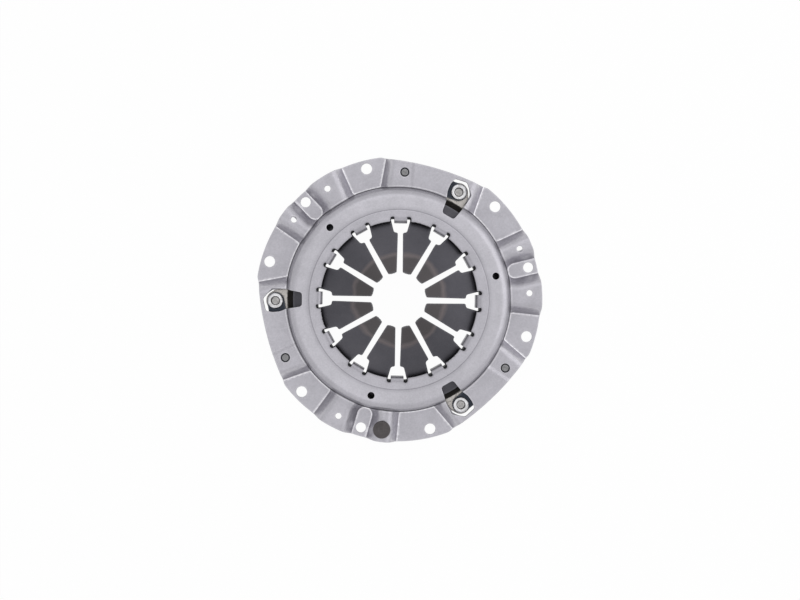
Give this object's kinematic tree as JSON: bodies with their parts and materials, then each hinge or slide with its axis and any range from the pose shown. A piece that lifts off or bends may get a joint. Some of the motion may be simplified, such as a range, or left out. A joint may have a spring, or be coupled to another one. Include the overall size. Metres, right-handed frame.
{
  "type": "clutch pressure plate",
  "caption": "Diaphragm-spring clutch cover assembly: pressed steel cover with a slotted spring, pivot rings and a cast pressure plate hung on drive straps.",
  "frame": {"origin": "centre of the flywheel bolt circle, on the plane where the cover's bolt pads meet the flywheel", "axes": "+Z along the clutch axis towards the release bearing; +X through a dowel hole"},
  "size_m": [0.2277, 0.234, 0.0379],
  "materials": {
    "pressed_cover": "satin pressed steel, lightly oiled",
    "spring_steel": "dark shot-peened spring steel with a heat-tinted band near the finger ends",
    "ring_wire": "drawn wire, dark",
    "cast_plate": "grey cast iron, ground friction face and lug seats",
    "strap_steel": "blued spring strip",
    "rivet_steel": "bright plated steel, rolled rim",
    "cover_rivet_steel": "dull steel, set flush",
    "weight_steel": "phosphated steel"
  },
  "bodies": {
    "cover": {"cover": "pressed_cover", "pivot_ring_upper": "ring_wire", "pivot_ring_lower": "ring_wire", "diaphragm_spring": "spring_steel", "balance_weight": "weight_steel", "drive_strap_1_lower": "strap_steel", "drive_strap_1_middle": "strap_steel", "drive_strap_1_upper": "strap_steel", "drive_strap_2_lower": "strap_steel", "drive_strap_2_middle": "strap_steel", "drive_strap_2_upper": "strap_steel", "drive_strap_3_lower": "strap_steel", "drive_strap_3_middle": "strap_steel", "drive_strap_3_upper": "strap_steel", "strap_rivet_1": "cover_rivet_steel", "strap_rivet_2": "cover_rivet_steel", "strap_rivet_3": "cover_rivet_steel"},
    "pressure_plate": {"pressure_plate": "cast_plate", "lug_rivet_1": "rivet_steel", "lug_rivet_2": "rivet_steel", "lug_rivet_3": "rivet_steel"}
  },
  "joints": [
    {"name": "plate_lift", "type": "slide", "parent": "cover", "child": "pressure_plate", "axis": [0, 0, 1], "range_m": [0, 0.0038], "stiffness_N_per_m": 20000, "deforming": ["diaphragm_spring", "drive_strap_1_lower", "drive_strap_1_middle", "drive_strap_1_upper", "drive_strap_2_lower", "drive_strap_2_middle", "drive_strap_2_upper", "drive_strap_3_lower", "drive_strap_3_middle", "drive_strap_3_upper"]}
  ]
}
